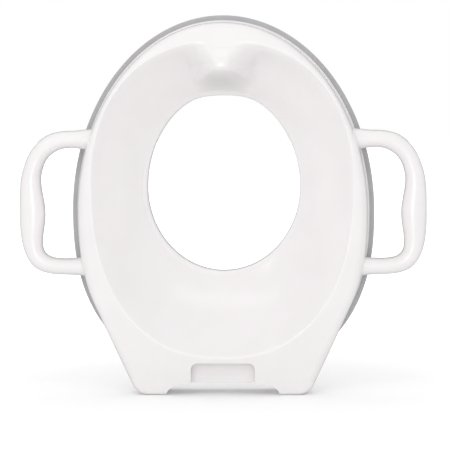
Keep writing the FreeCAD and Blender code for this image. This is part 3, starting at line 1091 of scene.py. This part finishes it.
@dataclass
class SoftRing:
    """The grey non-skid ring under the skirt, with two shallow grip grooves in its contact face."""

    form: SeatForm = field(default_factory=SeatForm)
    width: float = 0.014
    height: float = 0.006
    edge: float = 0.0012
    groove_width: float = 0.0016
    groove_depth: float = 0.0005
    grooves: tuple[float, ...] = (0.0045, 0.0078)
    edge_points: int = 5
    sharp: float = math.radians(40)

    def profile(self) -> list[Point]:
        """Draw the section of the ring with its grooves.

        Returns:
            insets and heights.
        """
        quarter = spread(0, QUARTER, self.edge_points) + [QUARTER]
        edge, width, height = self.edge, self.width, self.height
        corners = (((edge, edge), math.pi), ((edge, height - edge), QUARTER),
                   ((width - edge, height - edge), 0.0), ((width - edge, edge), -QUARTER))
        section = []
        for (inset, rise), first in corners:
            for turn in quarter:
                angle = first + QUARTER - turn
                section.append((inset + edge * math.cos(angle), rise + edge * math.sin(angle)))
        floor = []
        for middle in reversed(self.grooves):
            floor += [(middle + self.groove_width / 2, 0.0), (middle + self.groove_width / 4, self.groove_depth),
                      (middle - self.groove_width / 4, self.groove_depth), (middle - self.groove_width / 2, 0.0)]
        return section + floor

    def build(self) -> Obj:
        """Build the ring and dress it.

        Returns:
            the finished piece.
        """
        ring = PlanBand(self.form, self.profile()).build("soft_ring")
        shade(ring, self.sharp)
        GREY_RING.dress(ring)
        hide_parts("non_skid_ring")
        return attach(ring, ROOT)


@dataclass(frozen=True)
class Lamp:
    """A soft box: its place, width and height, and power in watts."""

    name: str
    spot: Spot
    size: Point
    power: float


LAMPS = (
    Lamp("front", (-0.3, -2.3, 0.7), (2.6, 1.8), 7.0),
    Lamp("key", (-0.9, -1.5, 1.2), (0.3, 0.3), 1.0),
    Lamp("spot", (-0.07, -2.0, 0.15), (0.36, 0.26), 2.4),
    Lamp("strip", (-0.1, -1.2, 1.7), (2.4, 0.06), 2.4),
    Lamp("top", (0.0, 0.4, 1.6), (1.8, 1.2), 2.4),
)


@dataclass
class Studio:
    """Floor, white surroundings, lamps and camera."""

    aim: Spot = (0.0019, 0.0, 0.1580)
    distance: float = 2.0
    azimuth: float = math.radians(2.0)
    elevation: float = math.radians(4.5)
    roll: float = math.radians(-0.28)
    view_width: float = 0.4227
    room_light: float = 0.89
    room_reflection: float = 0.04
    paper_tone: float = 0.9
    # Base colour of the paper as glossy rays see it: a painted shade in the seat's reflections of the floor
    painted_reflection_shade: float = 0.12
    paper_roughness: float = 0.9
    paper_level: float = 0.1
    glow_start: float = 0.2
    glow_end: float = 0.8
    near_glow: float = 0.12
    far_glow: float = 0.5
    floor_reach: float = 6.0
    sensor: float = 36.0
    view_depth: float = 50.0

    def paper(self) -> bpy.types.Material:
        """Build white paper whose glow for the camera grows with the distance from the seat, and which is painted
        dark where the seat's glossy surfaces reflect it, a painted shade in those reflections.

        Returns:
            the material.
        """
        material = bpy.data.materials.new("floor_paper")
        material.use_nodes = True
        nodes = material.node_tree.nodes
        shader = nodes["Principled BSDF"]
        set_inputs(shader, {"Roughness": self.paper_roughness, "Specular IOR Level": self.paper_level})
        light = nodes.new("ShaderNodeEmission")
        set_inputs(light, {"Color": (1, 1, 1, 1)})
        path = nodes.new("ShaderNodeLightPath")
        # The paper is white for the eye but dark in glossy rays, a painted shade in the seat's reflections
        tone_and_reflection_shade = nodes.new("ShaderNodeMapRange")
        set_inputs(tone_and_reflection_shade, {"To Min": self.paper_tone, "To Max": self.painted_reflection_shade})
        place = nodes.new("ShaderNodeTexCoord")
        away = nodes.new("ShaderNodeVectorMath")
        away.operation = "LENGTH"
        glow = nodes.new("ShaderNodeMapRange")
        set_inputs(glow, {"From Min": self.glow_start, "From Max": self.glow_end,
                          "To Min": self.near_glow, "To Max": self.far_glow})
        gain = nodes.new("ShaderNodeMath")
        gain.operation = "MULTIPLY"
        both = nodes.new("ShaderNodeAddShader")
        connect(material.node_tree, (
            (path, "Is Glossy Ray", tone_and_reflection_shade, "Value"), (tone_and_reflection_shade, "Result", shader, "Base Color"),
            (place, "Object", away, 0), (away, "Value", glow, "Value"), (path, "Is Camera Ray", gain, 0),
            (glow, "Result", gain, 1), (gain, 0, light, "Strength"), (shader, 0, both, 0), (light, 0, both, 1),
            (both, 0, nodes["Material Output"], "Surface")))
        return material

    def floor(self) -> None:
        """Place the sheet of paper that the seat stands on."""
        far = self.floor_reach
        mesh = bpy.data.meshes.new("floor")
        mesh.from_pydata([(-far, -far, 0), (far, -far, 0), (far, far, 0), (-far, far, 0)], [], [(0, 1, 2, 3)])
        obj = new_object("floor", mesh)
        mesh.materials.append(self.paper())

    def lamp(self, lamp: Lamp) -> None:
        """Place a soft box that faces the middle of the seat.

        Args:
            lamp: the soft box.
        """
        light = bpy.data.lights.new(lamp.name, "AREA")
        light.shape = "RECTANGLE"
        light.size, light.size_y = lamp.size
        light.energy = lamp.power
        obj = new_object(lamp.name, light)
        obj.location = lamp.spot
        obj.rotation_euler = (Vector(self.aim) - Vector(lamp.spot)).to_track_quat("-Z", "Y").to_euler()

    def build(self) -> None:
        """Build the whole stage."""
        self.floor()
        world = bpy.data.worlds.new("studio")
        bpy.context.scene.world = world
        world.use_nodes = True
        nodes = world.node_tree.nodes
        sky = nodes["Background"]
        set_inputs(sky, {"Color": (1, 1, 1, 1)})
        path = nodes.new("ShaderNodeLightPath")
        level = nodes.new("ShaderNodeMapRange")
        set_inputs(level, {"To Min": self.room_light, "To Max": self.room_reflection})
        seen = nodes.new("ShaderNodeMix")
        set_inputs(seen, {"B": 1.0})
        connect(world.node_tree, (
            (path, "Is Glossy Ray", level, "Value"), (path, "Is Camera Ray", seen, "Factor"),
            (level, "Result", seen, "A"), (seen, "Result", sky, "Strength")))
        for lamp in LAMPS:
            self.lamp(lamp)
        self.camera()
        bpy.context.scene.view_settings.view_transform = "Standard"

    def camera(self) -> None:
        """Place the camera at the photograph's angle."""
        data = bpy.data.cameras.new("camera")
        camera = new_object("camera", data)
        data.sensor_width = self.sensor
        data.lens = self.sensor * self.distance / self.view_width
        data.clip_end = self.view_depth
        back = Vector((math.sin(self.azimuth) * math.cos(self.elevation),
                       -math.cos(self.azimuth) * math.cos(self.elevation), math.sin(self.elevation)))
        camera.location = Vector(self.aim) + back * self.distance
        turn = (-back).to_track_quat("-Z", "Y").to_matrix().to_4x4()
        camera.rotation_euler = (turn @ Matrix.Rotation(self.roll, 4, "Z")).to_euler()
        bpy.context.scene.camera = camera


def main() -> None:
    """Build every piece, then the stage."""
    logging.basicConfig(level=logging.INFO, format="%(name)s: %(message)s")
    form = SeatForm()
    for maker in (SeatShell(form), SoftRing(form)):
        piece = maker.build()
        LOG.info("%s: %d faces", piece.name, len(piece.data.polygons))
    Studio().build()


if __name__ == "__main__":
    main()
